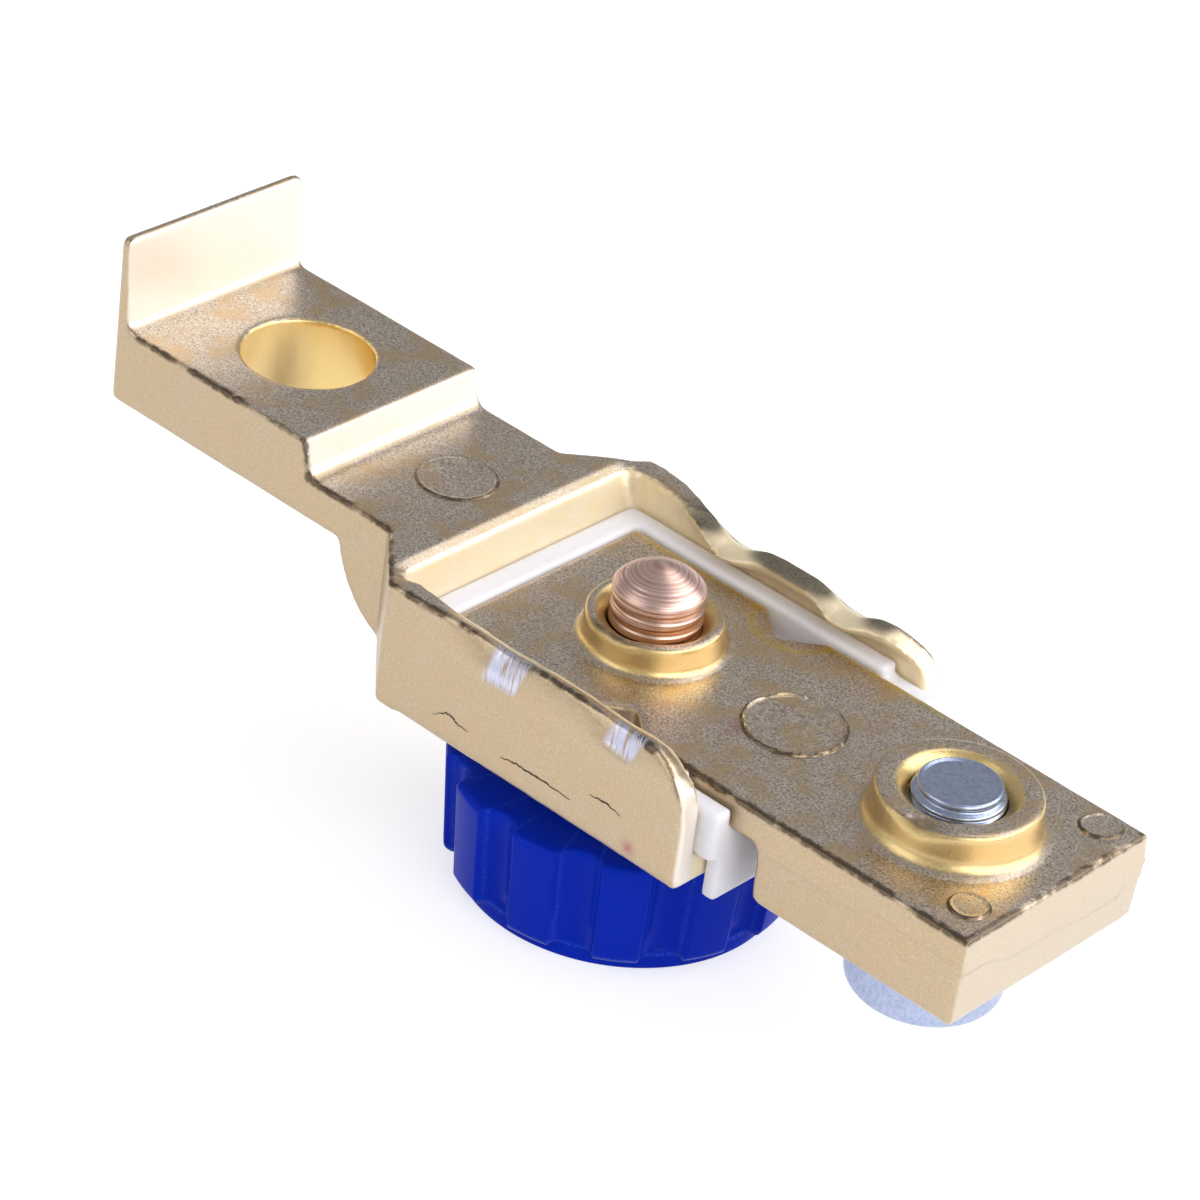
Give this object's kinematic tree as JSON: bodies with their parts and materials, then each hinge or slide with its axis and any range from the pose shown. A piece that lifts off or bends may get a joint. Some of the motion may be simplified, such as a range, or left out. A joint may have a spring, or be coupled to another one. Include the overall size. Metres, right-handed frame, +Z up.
{
  "type": "battery disconnect switch",
  "caption": "Battery disconnect switch: cast terminal bars kept apart by a nylon tray and bridged by a copper screw with a fluted knob underneath.",
  "frame": {"origin": "centre of the part's length and width, on the surface that the knob stands on", "axes": "+X from the cable flange to the terminal bolt, +Z up along the contact screw, from the knob to the screw's tip"},
  "size_m": [0.0988, 0.0322, 0.0395],
  "materials": {
    "plated_casting": "satin, as cast, with a thin yellow plating",
    "nylon": "natural white, slightly translucent",
    "copper": "bright turned",
    "blue_plastic": "glossy, injection moulded",
    "zinc_plated_steel": "bluish bright zinc plating"
  },
  "bodies": {
    "bars": {"left_terminal_bar": "plated_casting", "right_terminal_bar": "plated_casting", "insulator_tray": "nylon", "terminal_bolt": "zinc_plated_steel"},
    "washer": {"contact_washer": "copper"},
    "knob": {"knob": "blue_plastic", "contact_screw": "copper"}
  },
  "joints": [
    {"name": "knob_travel", "type": "slide", "parent": "bars", "child": "washer", "axis": [0, 0, -1], "range_m": [0, 0.00375]},
    {"name": "knob_turn", "type": "hinge", "parent": "washer", "child": "knob", "pos_m": [0.00585, 0, 0], "axis": [0, 0, -1], "range_deg": [0, 1080]}
  ],
  "couplings": [
    {"joint": "knob_turn", "follows": "knob_travel", "rad_per_m": 5026.5}
  ]
}
